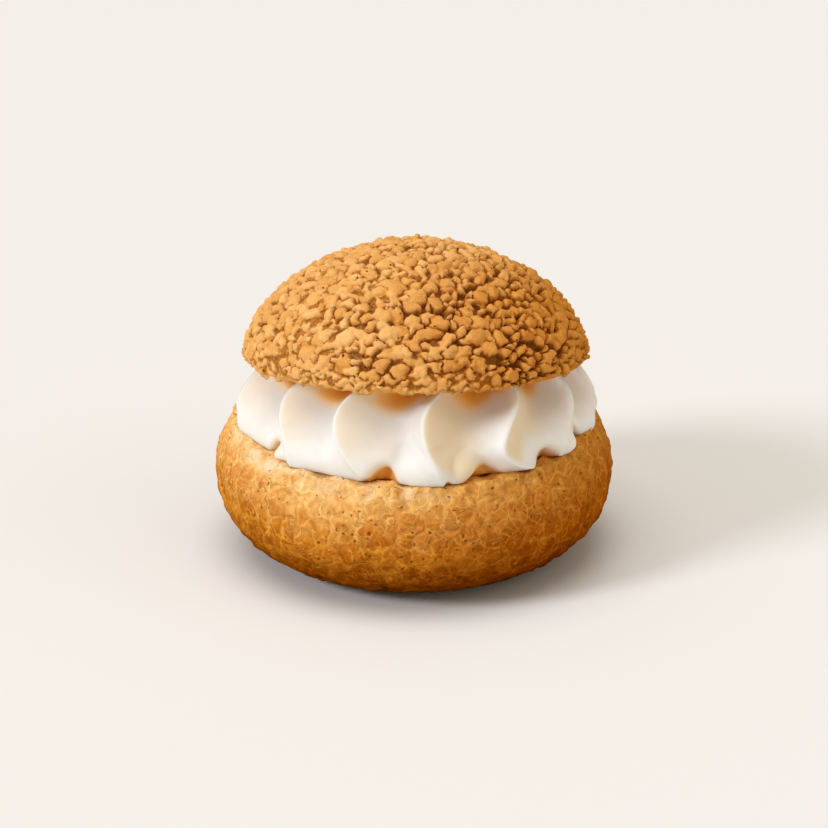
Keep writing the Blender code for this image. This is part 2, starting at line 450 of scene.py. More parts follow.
def chunkRelief(points, share):
    # height over the smooth dome, with masks for the shader: the highest of the chunks at each place
    draw = np.random.default_rng(lid["seed"])
    seeds, halves, upward = chunkSeeds(draw)
    count = len(seeds)
    print("chunks on the lid:", count)
    along = unitRows(np.cross(upward, draw.normal(size=(count, 3)) * 0.6 + np.array([0, 0, 1.0])))
    across = np.cross(upward, along)
    stretch = np.sqrt(draw.uniform(*lid["stretch"], count))
    sides = lid["chunkSides"]
    steps = np.arange(sides) + draw.uniform(-lid["uneven"], lid["uneven"], (count, sides))
    angles = steps * math.tau / sides
    reach = halves[:, None] * lid["overlap"] * draw.uniform(*lid["cornerReach"], (count, sides))
    tops = draw.uniform(*lid["chunkHeight"], count)
    lean = draw.normal(size=(count, 2)) * lid["chunkTilt"]
    tones = draw.uniform(-1, 1, count)
    warped = warpedBy(lid["chunkWarps"], points)
    soft = softness(points, share)
    floor = -lid["floorDepth"] * mixed(1, 0.35, soft) + noiseAt(points, *lid["floorRough"])
    order = np.zeros((2, len(points)), dtype=int)  # of the two chunks that reach furthest over each place
    depths = np.full((2, len(points)), -0.001)
    heights = np.stack([floor, floor])
    near = nearestCells(warped, seeds, lid["neighbours"])
    power = lid["chunkCorners"]
    for index in near.T:
        offset = warped - seeds[index]
        u = np.einsum("ij,ij->i", offset, along[index])
        v = np.einsum("ij,ij->i", offset, across[index])
        spread = np.cos(angles[index]) * (u / stretch[index])[:, None]
        spread += np.sin(angles[index]) * (v * stretch[index])[:, None]
        # outward is 1 at the chunk's edge
        outward = (np.maximum(spread / reach[index], 0) ** power).sum(axis=1) ** (1 / power)
        inward = (1 - outward) * halves[index] * lid["overlap"]
        slant = np.clip(lean[index, 0] * u + lean[index, 1] * v, -lid["mostTilt"], lid["mostTilt"])
        top = tops[index] + slant - lid["chunkDome"] * np.minimum(outward, 1.3) ** 2
        for rank in (0, 1):
            deeper = inward > depths[rank]
            for rows, values in ((order, index), (depths, inward), (heights, top)):
                pushed = np.where(deeper, rows[rank], values)
                rows[rank], values[:] = np.where(deeper, values, rows[rank]), pushed
    lead = depths[0] - np.maximum(depths[1], 0)
    pairKey = order.min(axis=0) * 12.9898 + order.max(axis=0) * 78.233
    pair = np.modf(np.abs(np.sin(pairKey)) * 4375.85)[0]
    fused = (pair < mixed(*lid["fused"], soft)) & (depths[1] > 0)
    inside = np.where(fused, depths[0], lead) - lid["crackHalf"]
    blended = mixed(heights[1], heights[0], 0.5 + 0.5 * np.clip(lead / lid["fusedBlend"], 0, 1))
    top = np.where(fused, blended, heights[0])
    height = mixed(floor, np.maximum(top, floor), shoulder(inside / mixed(*lid["edgeRound"], soft)))
    joined = eased(1 - lead / lid["seam"]) * fused
    fine = noisesAt(points, lid["fineRough"])
    band = eased((share - lid["hemShare"]) / lid["hemFade"])
    hem = lid["hemHeight"] + noiseAt(points, *lid["hemRough"])
    height = mixed(height * mixed(1, 0.75, soft), hem, band)
    masks = {
        "tone": tones[order[0]],
        "inside": np.clip(inside / 0.0003, -2, 4),
        "joined": joined * (1 - band),
        "depth": np.clip((0.0001 - height) / 0.0012, 0, 1) * (1 - 0.6 * band),
        "soft": soft,
        "band": band,
    }
    return height + fine, masks


def makeLid():
    bm = bmesh.new()
    bmesh.ops.create_icosphere(bm, subdivisions=lid["fineness"], radius=1)
    everything = bm.verts[:] + bm.edges[:] + bm.faces[:]
    bmesh.ops.bisect_plane(bm, geom=everything, dist=1e-6, plane_co=(0, 0, 0), plane_no=(0, 0, -1),
                           clear_outer=True)
    settleOrder(bm)
    ball = np.array([v.co for v in bm.verts])
    turn = np.arctan2(ball[:, 0], -ball[:, 1])
    areaShare = 1 - np.clip(ball[:, 2], 0, 1)
    share = np.interp(areaShare, *domeTable()[::-1])
    smooth, out = onDome(areaShare, turn)
    relief, masks = chunkRelief(smooth, share)
    placed = smooth + out * relief[:, None]
    hem = eased(1 - (smooth[:, 2] - lid["lipDrop"]) / 0.0012)
    placed[:, 2] -= hem * noisesAt(smooth, lid["hemWaves"])
    # painted shade on the lid's side away from the key light, fading out towards its top
    masks["sideShade"] = shadedSideAt(turn) * eased((share - 0.15) / 0.5)
    masks["under"] = np.zeros(len(ball))
    layers = {name: bm.verts.layers.float.new(name) for name in masks}
    for index, (vert, place) in enumerate(zip(bm.verts, placed.tolist())):
        vert.co = place
        for name, layer in layers.items():
            vert[layer] = masks[name][index]
    closeUnderside(bm, layers["under"])
    bmesh.ops.recalc_face_normals(bm, faces=bm.faces)
    bm.transform(lidPlace())
    return asObject("crackledLid", bm)


def closeUnderside(bm, underMask):
    edges = [e for e in bm.edges if e.is_boundary]
    size, reach = lid["lipWobble"]
    rings = [(lid["radius"] - inset, height) for inset, height in lid["lipRings"]]
    rings.append((mixed(lid["lipInner"], lid["radius"], 0.25), 0.0))
    rings += [(lid["lipInner"] * r, float(hollowHeight(lid["lipInner"] * r))) for r in (0.98, 0.92, 0.6)]
    for radius, height in rings:
        grown = bmesh.ops.extrude_edge_only(bm, edges=edges)["geom"]
        edges = [e for e in grown if isinstance(e, bmesh.types.BMEdge) and e.is_boundary]
        for vert in {v for e in edges for v in e.verts}:
            flat = Vector((vert.co.x, vert.co.y, 0)).normalized()
            wobble = noise.noise(flat * size) * reach
            vert.co = flat * (radius + wobble) + Vector((0, 0, height + wobble))
            vert[underMask] = 1
    grown = bmesh.ops.edgeloop_fill(bm, edges=edges)["faces"]
    middle = bmesh.ops.poke(bm, faces=grown)["verts"][0]
    middle.co = Vector((0, 0, lid["hollow"]))
    middle[underMask] = 1


crackleColours = {
    "tops": ((0.0, (222, 158, 82)), (0.5, (232, 173, 100)), (1.0, (242, 190, 122))),
    # colours down in the gaps: the crust's own colour, painted darker the deeper it lies as painted shade
    "gaps": ((0.0, (226, 162, 80)), (0.3, (206, 132, 38)), (0.5, (172, 96, 8)), (0.75, (128, 62, 0)),
             (1.0, (92, 38, 0))),
    "joined": (172, 100, 16),
    # painted shade on the chunks' sides and in the cracks between them
    "flankShade": (168, 94, 14),
    "crackShade": (84, 34, 0),
    # pale colour: painted highlight along the chunks' rims, and the colour of the pale wrinkle folds
    "edge": (250, 208, 138),
    "hem": (240, 186, 110),
    "grain": (238, 188, 116),
    "mottle": (184, 104, 22),
    # dark pin holes: painted shade inside the holes
    "pinHole": (96, 40, 2),
    # sugar specks, painted bright as glints: painted highlights
    "sugarGlint": (255, 232, 186),
    "under": (222, 158, 84),
    # colour of the painted shade, multiplied in on the side away from the key light
    "sideShade": (232, 206, 152),
}


def makeCrackleMaterial():
    material, tree, shader = newMaterial("crackledCrust")
    paints = crackleColours
    grain = useGroup(tree, grainGroup, Fine=2600.0, Coarse=420.0)
    pinHole = useGroup(tree, pitGroup, Scale=460.0, Width=0.15, Share=0.3)["Hole"]
    # painted highlights: small bright sugar glints
    sugarGlint = useGroup(tree, pitGroup, Scale=610.0, Width=0.16, Share=0.05)["Hole"]
    wrinkles = useGroup(tree, skinGroup, Cells=640.0, Width=0.08, Warp=0.0016, Shown=0.46)
    depth, inside, soft = [attribute(tree, name) for name in ("depth", "inside", "soft")]
    tops = ramp(tree, remap(tree, attribute(tree, "tone"), -1.0, 1.0), paints["tops"])
    # painted shade: the colour darkens with the depth between the chunks
    colour = blendColour(tree, remap(tree, depth, 0.0, 0.25), tops, ramp(tree, depth, paints["gaps"]))
    # the painted shade on the flanks and in the cracks is weaker where the chunks have melted together
    shadeStrength = remap(tree, soft, 0.0, 1.0, 1.0, 0.4)
    # painted highlight: a thin pale band just inside each chunk's edge
    rimHighlight = times(tree, remap(tree, inside, 0.5, 1.1), remap(tree, inside, 1.2, 2.0, 1.0, 0.0))
    folds = larger(tree, wrinkles["Line"], wrinkles["Stroke"])
    creased = times(tree, folds, remap(tree, soft, 0.0, 1.0, 0.45, 0.6))
    colour = painted(tree, colour, (
        (times(tree, attribute(tree, "joined"), 0.45), paints["joined"]),
        (times(tree, remap(tree, inside, -0.3, 1.8, 0.85, 0.0), shadeStrength), paints["flankShade"]),
        (times(tree, remap(tree, inside, -0.6, 0.3, 1.0, 0.0), shadeStrength), paints["crackShade"]),
        (times(tree, rimHighlight, 0.42), paints["edge"]),
        (times(tree, creased, 0.6), paints["edge"]),
        (times(tree, attribute(tree, "band"), 0.8), paints["hem"]),
        (remap(tree, grain["Grain"], 0.0, 1.0, 0.0, 0.3), paints["grain"]),
        (remap(tree, grain["Mottle"], 0.0, 1.0, 0.25, 0.0), paints["mottle"]),
        (pinHole, paints["pinHole"]),
        (sugarGlint, paints["sugarGlint"]),
        (attribute(tree, "under"), paints["under"]),
    ))
    # painted shade: the colour is darker on the side away from the key light
    colour = blendColour(tree, attribute(tree, "sideShade"), colour, paint(*paints["sideShade"]), "MULTIPLY")
    tree.links.new(colour, shader.inputs["Base Color"])
    tree.links.new(remap(tree, grain["Mottle"], 0.0, 1.0, 0.55, 0.72), shader.inputs["Roughness"])
    shader.inputs["Specular IOR Level"].default_value = 0.0
    normal = bumped(tree, (
        (grain["Height"], 0.7, 0.0002),
        (remap(tree, inside, -0.4, 0.9), 0.7, 0.0004),
        (creased, 0.7, 0.0002),
        (pinHole, -0.8, 0.0003),
        (sugarGlint, 0.8, 0.0003),
    ))
    tree.links.new(normal, shader.inputs["Normal"])
    return material


base = {
    "radius": 0.0399,
    "waist": 0.0165,
    "footRadius": 0.0215,
    "rimRadius": 0.0368,
    "rimInner": 0.0320,
    "rimHeight": 0.0279,
    "rimRound": 0.0008,
    "cutTilt": 3.4,
    "cavityFloor": 0.0090,
    "upperCurve": 2.4,
    "lump": 0.00045,
    "lumpSize": 0.0085,
    "turnSteps": 640,
    "cavityRings": 9,
    "rimRings": 13,
    "upperRings": 46,
    "lowerRings": 72,
    "hiddenRim": 0.0352,  # inside this the cream lies on the cut, so no crumb stands up
    "crumbTurn": -45,  # where the pale crumb shows on the rim
    "cellTries": 9000,
    "cellSize": (0.0009, 0.0021),
    "cellStretch": (1.0, 1.8),
    "closeness": 0.86,
    "neighbours": 4,
    "webHalf": 0.0002,
    "webHeight": 0.00016,
    "cellRound": 0.0012,
    "cellHeight": (0.00018, 0.0002),  # of all cells, and how much theirs differ
    # noises: size, height and offset
    "cellWarps": ((0.0032, 0.0009), (0.0013, 0.0003, 5.3)),
    "webPatches": (0.0038, 2.2, 8.0),
    "fineRough": ((0.0022, 0.0002, 1.5), (0.0009, 0.0001, 2.5)),
    "crumbRough": ((0.0017, 0.0009, 2.0), (0.0008, 0.0004, 4.0)),
    "rimRough": (0.0031, 0.0007, 6.0),
    "tornPatches": (0.0026, 0.9, 5.0),
    "seed": 5,
}


def leanWithCut(points):
    share = eased(points[:, 2] / base["rimHeight"])
    points[:, 2] += points[:, 1] * math.tan(math.radians(base["cutTilt"])) * share
    return points


def baseProfile():
    # radius, height and part (0 hollow, 1 cut, 2 outside, 3 foot) from the hollow's middle to the foot's
    rows = []
    wall = base["rimHeight"] - base["rimRound"] - base["cavityFloor"]
    for i in range(base["cavityRings"]):
        angle = math.pi / 2 * i / base["cavityRings"]
        rows.append((base["rimInner"] * math.sin(angle) ** 0.7,
                     base["cavityFloor"] + wall * (1 - math.cos(angle)) ** 1.3, 0))
    for i in range(base["rimRings"]):
        share = i / (base["rimRings"] - 1)
        edge = min(1.0, 4 * share * (1 - share) / 0.55)
        rows.append((mixed(base["rimInner"], base["rimRadius"], share),
                     base["rimHeight"] - base["rimRound"] * (1 - edge) * mixed(1.0, 1.6, share), 1))
    top = base["rimHeight"] - 1.8 * base["rimRound"]
    for i in range(base["upperRings"]):
        share = 1 - (i + 0.7) / base["upperRings"]
        rows.append((base["radius"] - (base["radius"] - base["rimRadius"]) * share ** base["upperCurve"],
                     mixed(base["waist"], top, share), 2))
    for i in range(base["lowerRings"]):
        angle = math.pi / 2 * i / base["lowerRings"]
        rows.append((base["footRadius"] + (base["radius"] - base["footRadius"]) * math.cos(angle),
                     base["waist"] * (1 - math.sin(angle)), 2))
    rows += [(base["footRadius"] * share, 0.0, 3) for share in (0.985, 0.9, 0.6, 0.3, 0.0)]
    return np.array(rows)


def sphereGrid(name, turnSteps, rings):
    # a ball whose corners know their ring, 0 at the top pole, and their step round
    bm = bmesh.new()
    bmesh.ops.create_uvsphere(bm, u_segments=turnSteps, v_segments=rings, radius=1)
    piece = asObject(name, bm)
    ball = corners(piece.data)
    ring = np.rint(np.arccos(np.clip(ball[:, 2], -1, 1)) / math.pi * rings).astype(int)
    step = np.rint(np.arctan2(ball[:, 1], ball[:, 0]) / math.tau * turnSteps).astype(int) % turnSteps
    return piece, ring, step


def crustRelief(points):
    # shallow cells over the outside: their height, the raised web between them and each cell's tone
    draw = np.random.default_rng(base["seed"])
    count = base["cellTries"]
    height = draw.uniform(0, base["rimHeight"], count)
    profile = baseProfile()
    skin = profile[profile[:, 2] == 2][::-1]
    spots = around(np.interp(height, skin[:, 1], skin[:, 0]), draw.random(count) * math.tau, height)
    seeds, sizes = spacedSeeds(spots, draw.uniform(*base["cellSize"], count), base["closeness"])
    print("cells on the crust:", len(seeds))
    grain = unitRows(draw.normal(size=(len(seeds), 3)))
    stretch = draw.uniform(*base["cellStretch"], len(seeds))
    tones = draw.uniform(-1, 1, len(seeds))
    heights = draw.uniform(-1, 1, len(seeds))
    warped = warpedBy(base["cellWarps"], points)
    near = nearestCells(warped, seeds, base["neighbours"])
    away = warped[:, None, :] - seeds[near]
    along = np.einsum("ijk,ijk->ij", away, grain[near])
    square = np.einsum("ijk,ijk->ij", away, away) - along ** 2 * (1 - 1 / stretch[near] ** 2)
    gaps = np.sqrt(np.maximum(square, 0)) - sizes[near] * 0.5
    order = np.argsort(gaps, axis=1)
    nearest = np.take_along_axis(near, order, 1)[:, 0]
    gaps = np.take_along_axis(gaps, order, 1)
    edge = (gaps[:, 1] - gaps[:, 0]) / 2
    patchy = eased(noiseAt(points, *base["webPatches"]) + 0.4)
    web = (1 - eased(edge / base["webHalf"])) * patchy * 0.7
    common, differing = base["cellHeight"]
    bulge = eased(edge / base["cellRound"]) * (common + heights[nearest] * differing)
    relief = web * base["webHeight"] + bulge
    relief += noisesAt(points, base["fineRough"])
    return relief, web, tones[nearest]


def makeBase():
    profile = baseProfile()
    piece, ring, step = sphereGrid("chouxBottom", base["turnSteps"], len(profile) - 1)
    turn = math.tau * step / base["turnSteps"]
    radius, height, part = profile[ring].T
    points = around(radius, turn, height)
    before, after = profile[np.maximum(ring - 1, 0)], profile[np.minimum(ring + 1, len(profile) - 1)]
    slope = unitRows(np.stack([before[:, 1] - after[:, 1], after[:, 0] - before[:, 0]], axis=1))
    out = around(slope[:, 0], turn, slope[:, 1])
    outer = (part == 2).astype(float)
    bump = noiseAt(points, base["lumpSize"], base["lump"]) * eased(height / base["waist"])
    lumps = unitRows(points) * (bump * (part >= 1) * (part < 3))[:, None]
    relief, web, tone = crustRelief(points)
    crumb = noisesAt(points, base["crumbRough"])
    crumb = mixed(-np.abs(crumb) * 0.15, crumb, eased((radius - base["hiddenRim"]) / 0.0008))
    ragged = noiseAt(points * np.array([1, 1, 0.2]), *base["rimRough"])
    ragged *= eased((height - base["rimHeight"] + 0.003) / 0.0025) * (part >= 1)
    moved = relief * outer * eased(height / 0.0035) + crumb * (part == 1)
    points = points + lumps + out * moved[:, None]
    points[:, 2] += ragged
    setCorners(piece.data, leanWithCut(points))
    pale = 2 * np.cos(turn - math.radians(base["crumbTurn"])) - 1.35
    torn = eased(pale + noiseAt(points, *base["tornPatches"]))
    rim = eased((height - base["rimHeight"] + 0.0036) / 0.0028) * (part >= 1)
    setValue(piece.data, "web", web * outer)
    setValue(piece.data, "tone", tone)
    setValue(piece.data, "cut", rim * torn)
    setValue(piece.data, "level", height / base["rimHeight"])
    # painted shade on the side away from the key light
    setValue(piece.data, "sideShade", shadedSideAt(turn))
    return piece


crustColours = {
    # both ramps run darker towards the bottom: partly the underside's deeper bake, partly painted shade
    # where the floor's light would lift the underside
    "cells": ((0.0, (46, 17, 0)), (0.1, (68, 28, 0)), (0.28, (106, 46, 0)), (0.52, (167, 83, 0)),
              (0.78, (195, 108, 6)), (1.0, (216, 139, 38))),
    "light": ((0.0, (104, 48, 2)), (0.25, (178, 102, 10)), (0.55, (240, 170, 64)), (1.0, (255, 218, 146))),
    "darkCell": (124, 54, 0),
    "besideLine": (130, 60, 0),
    # colour of the painted shade, multiplied in on the side away from the key light
    "sideShade": (218, 190, 132),
    "crumb": ((230, 194, 142), (244, 222, 186)),
    # dark pin holes: painted shade inside the holes
    "pinHole": (104, 48, 1),
}


def makeCrustMaterial():
    material, tree, shader = newMaterial("bakedChoux")
    paints = crustColours
    grain = useGroup(tree, grainGroup, Fine=2300.0, Coarse=300.0)
    smallHoles = useGroup(tree, pitGroup, Scale=620.0, Width=0.2, Share=0.55)
    bigHoles = useGroup(tree, pitGroup, Scale=330.0, Width=0.14, Share=0.45)
    holes = larger(tree, smallHoles["Hole"], bigHoles["Hole"])
    plates = useGroup(tree, skinGroup, Cells=260.0, Width=0.045, Warp=0.0024, Shown=0.47)
    scales = useGroup(tree, skinGroup, Cells=520.0, Width=0.075, Warp=0.0020, Shown=0.48)
    level, sideShade = attribute(tree, "level"), attribute(tree, "sideShade")
    band = plus(tree, level, remap(tree, grain["Mottle"], 0.0, 1.0, -0.1, 0.1))
    light = ramp(tree, band, paints["light"])
    tone = plus(tree, remap(tree, attribute(tree, "tone"), -1.0, 1.0, 0.0, 0.1),
                remap(tree, plates["Tone"], 0.0, 1.0, 0.0, 0.25))
    outer = plus(tree, remap(tree, plates["Inner"], 0.0, 0.6, 0.17, 0.0),
                 remap(tree, scales["Inner"], 0.0, 0.6, 0.14, 0.0))
    # lighter towards the rim, with the same darkening towards the bottom: partly bake, partly painted shade
    lighter = plus(tree, plus(tree, tone, outer), remap(tree, level, 0.72, 0.98, 0.0, 0.2))
    colour = blendColour(tree, lighter, ramp(tree, band, paints["cells"]), light)
    darker = times(tree, remap(tree, scales["Tone"], 0.4, 1.0, 0.0, 0.3),
                   remap(tree, level, 0.7, 1.0, 1.0, 0.3))
    beside = times(tree, remap(tree, plates["Inner"], 0.15, 0.45),
                   remap(tree, plates["Inner"], 0.45, 1.0, 0.22, 0.0))
    colour = painted(tree, colour, ((darker, paints["darkCell"]), (beside, paints["besideLine"])))
    # painted shade: the colour and the pale lines are darker on the side away from the key light
    sideShadeColour = paint(*paints["sideShade"])
    colour = blendColour(tree, sideShade, colour, sideShadeColour, "MULTIPLY")
    light = blendColour(tree, sideShade, light, sideShadeColour, "MULTIPLY")
    crumb = blendColour(tree, grain["Mottle"], *[paint(*c) for c in paints["crumb"]])
    colour = blendColour(tree, times(tree, attribute(tree, "cut"), 0.85), colour, crumb)
    lines = larger(tree, larger(tree, attribute(tree, "web"), plates["Line"]),
                   times(tree, scales["Line"], 0.35))
    lines = larger(tree, lines, scales["Stroke"])
    colour = blendColour(tree, times(tree, lines, 0.62), colour, light)
    colour = blendColour(tree, remap(tree, grain["Grain"], 0.0, 1.0, 0.0, 0.08), colour, light)
    colour = painted(tree, colour, ((times(tree, holes, 0.8), paints["pinHole"]),))
    tree.links.new(colour, shader.inputs["Base Color"])
    tree.links.new(remap(tree, grain["Mottle"], 0.0, 1.0, 0.46, 0.6), shader.inputs["Roughness"])
    shader.inputs["Specular IOR Level"].default_value = 0.0
    normal = bumped(tree, (
        (grain["Height"], 0.4, 0.0002),
        (plates["Inner"], 0.7, 0.0003),
        (scales["Inner"], 0.5, 0.0002),
        (plates["Tilt"], 0.6, 0.0012),
        (scales["Tilt"], 0.5, 0.0005),
        (lines, 0.6, 0.00017),
        (holes, -0.8, 0.0003),
    ))
    tree.links.new(normal, shader.inputs["Normal"])
    return material


# direction of each ridge in degrees: under the lid, above and below its middle, and at its foot
ridges = [
    (-79, -83, -80, -74), (-47, -50.5, -45, -42), (-22, -27.5, -23, -14), (8, 1.5, 4, 8), (36, 32, 27, 40),
    (59, 62.5, 55, 51), (80, 83, 82, 74), (101, 98, 95, 103), (125, 121, 121, 128), (149, 146, 147, 155),
    (173, 169, 170, 176), (196, 192, 191, 198), (220, 218, 214, 218), (248, 244, 244, 251),
]

# openings under the feet: from, highest and to in degrees, how high and how far in
footGaps = [
    (-56, -51.5, -43, 0.0020, 0.0020), (-18.5, -9.5, -4.5, 0.0024, 0.0028), (8, 9.6, 11.4, 0.0007, 0.0004),
    (14, 19.5, 31, 0.0021, 0.0024), (36.5, 46.5, 52.5, 0.0017, 0.0014), (59.5, 63, 70, 0.0025, 0.0022),
    (76, 81, 85, 0.0020, 0.0018), (104, 107, 113, 0.0026, 0.0022), (129, 134, 137, 0.0018, 0.0018),
    (156, 159, 164, 0.0024, 0.0020), (177, 180, 187, 0.0020, 0.0018), (199, 204, 207, 0.0026, 0.0022),
    (219, 222, 228, 0.0020, 0.0018), (252, 256, 261, 0.0026, 0.0022), (276, 280, 285, 0.0018, 0.0016),
]

# small round ends of cream between the feet: turn in degrees, radius from the axis, height over the rim,
# size and how softly it joins
beads = [
    (-47.5, 0.0346, 0.0012, 0.0016, 0.0024), (2.8, 0.0306, 0.0018, 0.0055, 0.005),
    (15.8, 0.0316, 0.0020, 0.0037, 0.0034), (55.5, 0.0348, 0.0020, 0.0027, 0.0024),
    (140, 0.0342, 0.0010, 0.0021, 0.0024), (207, 0.0342, 0.0012, 0.0023, 0.0024),
    (254, 0.0342, 0.0010, 0.0021, 0.0024),
]

cream = {
    "radius": 0.0365,
    "topRadius": 0.0305,
    "footRadius": 0.0357,
    "shift": 0.0004,
    "footShare": 0.16,
    "valleyTop": 0.0070,
    "valleyFoot": 0.0016,
    "skewLow": 1.35,
    "skewHigh": 2.1,
    "bluntLow": 0.7,
    "bluntHigh": 0.55,
    "crestFin": 0.0003,
    "topCurve": 1.7,
    "deepestInset": 0.0028,
    "waviness": (0.006, 0.008),  # size in metres, and share of the radius
    "stepsPerRidge": 44,
    "sideRings": 100,
    "capRings": (0.0, 0.3, 0.55, 0.75, 0.88, 0.96),
    "bedRings": ((0.0345, 0.0001), (0.0325, 0.0001), (0.0312, -0.0006), (0.0300, -0.0035), (0.015, -0.006),
                 (0.0, -0.006)),  # radius and height over the rim
    "gap": 0.0003,
}


def crestRadius(rise):
    foot = mixed(cream["footRadius"], cream["radius"], shoulder(rise / cream["footShare"]))
    share = np.maximum(rise - cream["footShare"], 0) / (1 - cream["footShare"])
    above = mixed(cream["radius"], cream["topRadius"], share ** cream["topCurve"])
    return np.where(rise < cream["footShare"], foot, above)


def ridgeTurn(index, rise):
    # a cubic through the ridge's four directions
    laps, index = np.divmod(index, len(ridges))
    top, upper, lower, foot = np.array(ridges, dtype=float)[index].T
    t = 3 * rise
    turn = (foot * (t - 1) * (t - 2) * (t - 3) / -6 + lower * t * (t - 2) * (t - 3) / 2
            + upper * t * (t - 1) * (t - 3) / -2 + top * t * (t - 1) * (t - 2) / 6)
    return np.radians(360 * laps + turn)


def grooveShare(between, rise):
    # 0 on a ridge, 1 in the valley, which lies nearer to the next ridge the higher up it is
    up = eased((rise - 0.15) / 0.6)
    skew = mixed(cream["skewLow"], cream["skewHigh"], up)
    blunt = mixed(cream["bluntLow"], cream["bluntHigh"], up)
    return np.maximum(np.sin(math.pi * between ** skew), 0) ** blunt


def footOpening(turn):
    # how high the foot stands off the rim at each direction, and how far it draws in
    degrees = np.degrees(turn)
    lift, inset = np.zeros(len(turn)), np.zeros(len(turn))
    for first, top, last, high, deep in footGaps:
        here = (degrees - first + 90) % 360 - 90 + first
        share = eased(np.where(here < top, (here - first) / (top - first), (last - here) / (last - top)))
        lift, inset = np.maximum(lift, share * high), np.maximum(inset, share * deep)
    return lift, inset


def addBeads(points, turn):
    # each bead swells the side out into a rounded knob
    level = np.full(1, base["rimHeight"])
    for degrees, radius, over, size, join in beads:
        beadTurn = math.radians(degrees)
        centre = leanWithCut(around(np.full(1, radius), np.full(1, beadTurn), level))[0]
        here = np.hypot(points[:, 0], points[:, 1])
        sideways = np.arctan2(np.sin(turn - beadTurn), np.cos(turn - beadTurn)) * radius
        away = (sideways ** 2 + (points[:, 2] - centre[2] - over) ** 2) / size ** 2
        ball = radius + size * (1 - away)
        blend = np.clip((ball - here) / join * 0.5 + 0.5, 0, 1)
        grown = mixed(here, ball, blend) + join * blend * (1 - blend) * 0.5
        points[:, :2] *= mixed(1, grown / here, eased((2.6 - away) / 1.2))[:, None]
    return points


def creamShades(turn, between, rise, groove, inset):
    # masks of painted shade: for the side that turns from the light, and for the deep places under the lid
    # and the feet, painted warm for the lid's shadow and the light bounced off the crust
    degrees = np.degrees(turn)
    deepFoot = inset / cream["deepestInset"]
    farSide = eased((degrees + 20) / 45)
    middle = farSide * eased((38 - degrees) / 10)
    leeShade = eased((rise - mixed(0.2, -0.25, middle)) / 0.3)
    leeShade *= eased((mixed(0.64, 0.9, farSide) - between) / 0.5)
    leeShade *= eased(between / mixed(0.3, 0.06, eased(rise / 0.35))) * mixed(0.5, 1, eased((degrees + 32) / 40))
    leeShade = np.maximum(leeShade, deepFoot * eased(1 - rise / 0.3))
    valley = np.maximum(np.sin(math.pi * between ** 1.6), 0) ** 0.7
    recessShade = eased((rise - mixed(0.86, 0.57, valley)) / 0.36) * (0.2 + 0.8 * valley)
    recessShade = np.maximum(recessShade, eased((rise - 0.74) / 0.24) * groove ** 0.8 * 0.8)
    recessShade = np.maximum(recessShade, deepFoot * eased(1 - rise / 0.16) * 0.6)
    return leeShade, recessShade


def transformed(matrix, points):
    turned = np.array(matrix)
    return points @ turned[:3, :3].T + turned[:3, 3]


def makeCream():
    side = 1 - np.linspace(0, 1, cream["sideRings"] + 1)
    cap, bed = np.array(cream["capRings"]), np.array(cream["bedRings"])
    steps = cream["stepsPerRidge"] * len(ridges)
    piece, ring, step = sphereGrid("pipedCream", steps, len(cap) + len(side) + len(bed) - 1)
    ridge, between = np.divmod(step / cream["stepsPerRidge"], 1)
    ridge = ridge.astype(int)
    rise = side[np.clip(ring - len(cap), 0, len(side) - 1)]
    groove = grooveShare(between, rise)
    turn = mixed(ridgeTurn(ridge, rise), ridgeTurn(ridge + 1, rise), between)
    depth = mixed(cream["valleyFoot"], cream["valleyTop"], eased(rise / 0.95)) * groove
    fin = np.maximum(1 - (1 - between) / 0.1, 0) ** 2 * cream["crestFin"] * eased(rise / 0.3)
    lift, inset = footOpening(turn)
    radius = crestRadius(rise) - depth + fin - inset * (1 - np.minimum(rise / 0.32, 1)) ** 1.5
    rim = np.full(len(radius), base["rimHeight"])
    low = leanWithCut(around(radius, turn, rim))
    low[:, 2] += 0.0001
    high = transformed(lidPlace(), around(radius, turn, np.full(len(radius), -cream["gap"])))
    points = mixed(low, high, rise[:, None]) + np.array([cream["shift"], 0, 0])
    points[:, 2] += lift * (1 - rise) ** 4
    points[:, :2] *= 1 + noiseAt(points, *cream["waviness"], 3.0)[:, None]
    points = addBeads(points, turn)
    capRadius = (cream["topRadius"] - depth) * cap[np.minimum(ring, len(cap) - 1)]
    capPoints = around(capRadius, turn, hollowHeight(capRadius) - cream["gap"])
    isCap = ring < len(cap)
    points = np.where(isCap[:, None], transformed(lidPlace(), capPoints), points)
    under = ring - len(cap) - len(side)
    bedRadius, bedHeight = bed[np.maximum(under, 0)].T
    bedPoints = leanWithCut(around(np.minimum(bedRadius, radius - 0.0004), turn, rim))
    bedPoints[:, 2] += bedHeight
    setCorners(piece.data, np.where((under >= 0)[:, None], bedPoints, points))
    leeShade, recessShade = creamShades(turn, between, rise, groove, inset)
    setValue(piece.data, "leeShade", leeShade)
    # the cap under the lid and the bed under the cream take the painted shade too
    setValue(piece.data, "recessShade", np.where(isCap, 1.0, np.where(under >= 0, 0.9, recessShade)))
    return piece


creamColours = {
    "fresh": ((234, 233, 231), (230, 226, 220)),
    # painted shade on each ridge's side turned from the light
    "leeShade": (226, 204, 166),
    # painted shade under the lid and in the feet's openings, warm for the light bounced off the crust
    "recessShadeEdge": (248, 204, 132),
    "recessShadeDeep": (248, 172, 64),
    # darker specks: painted shade inside small bubbles
    "pinHole": (200, 180, 150),
}


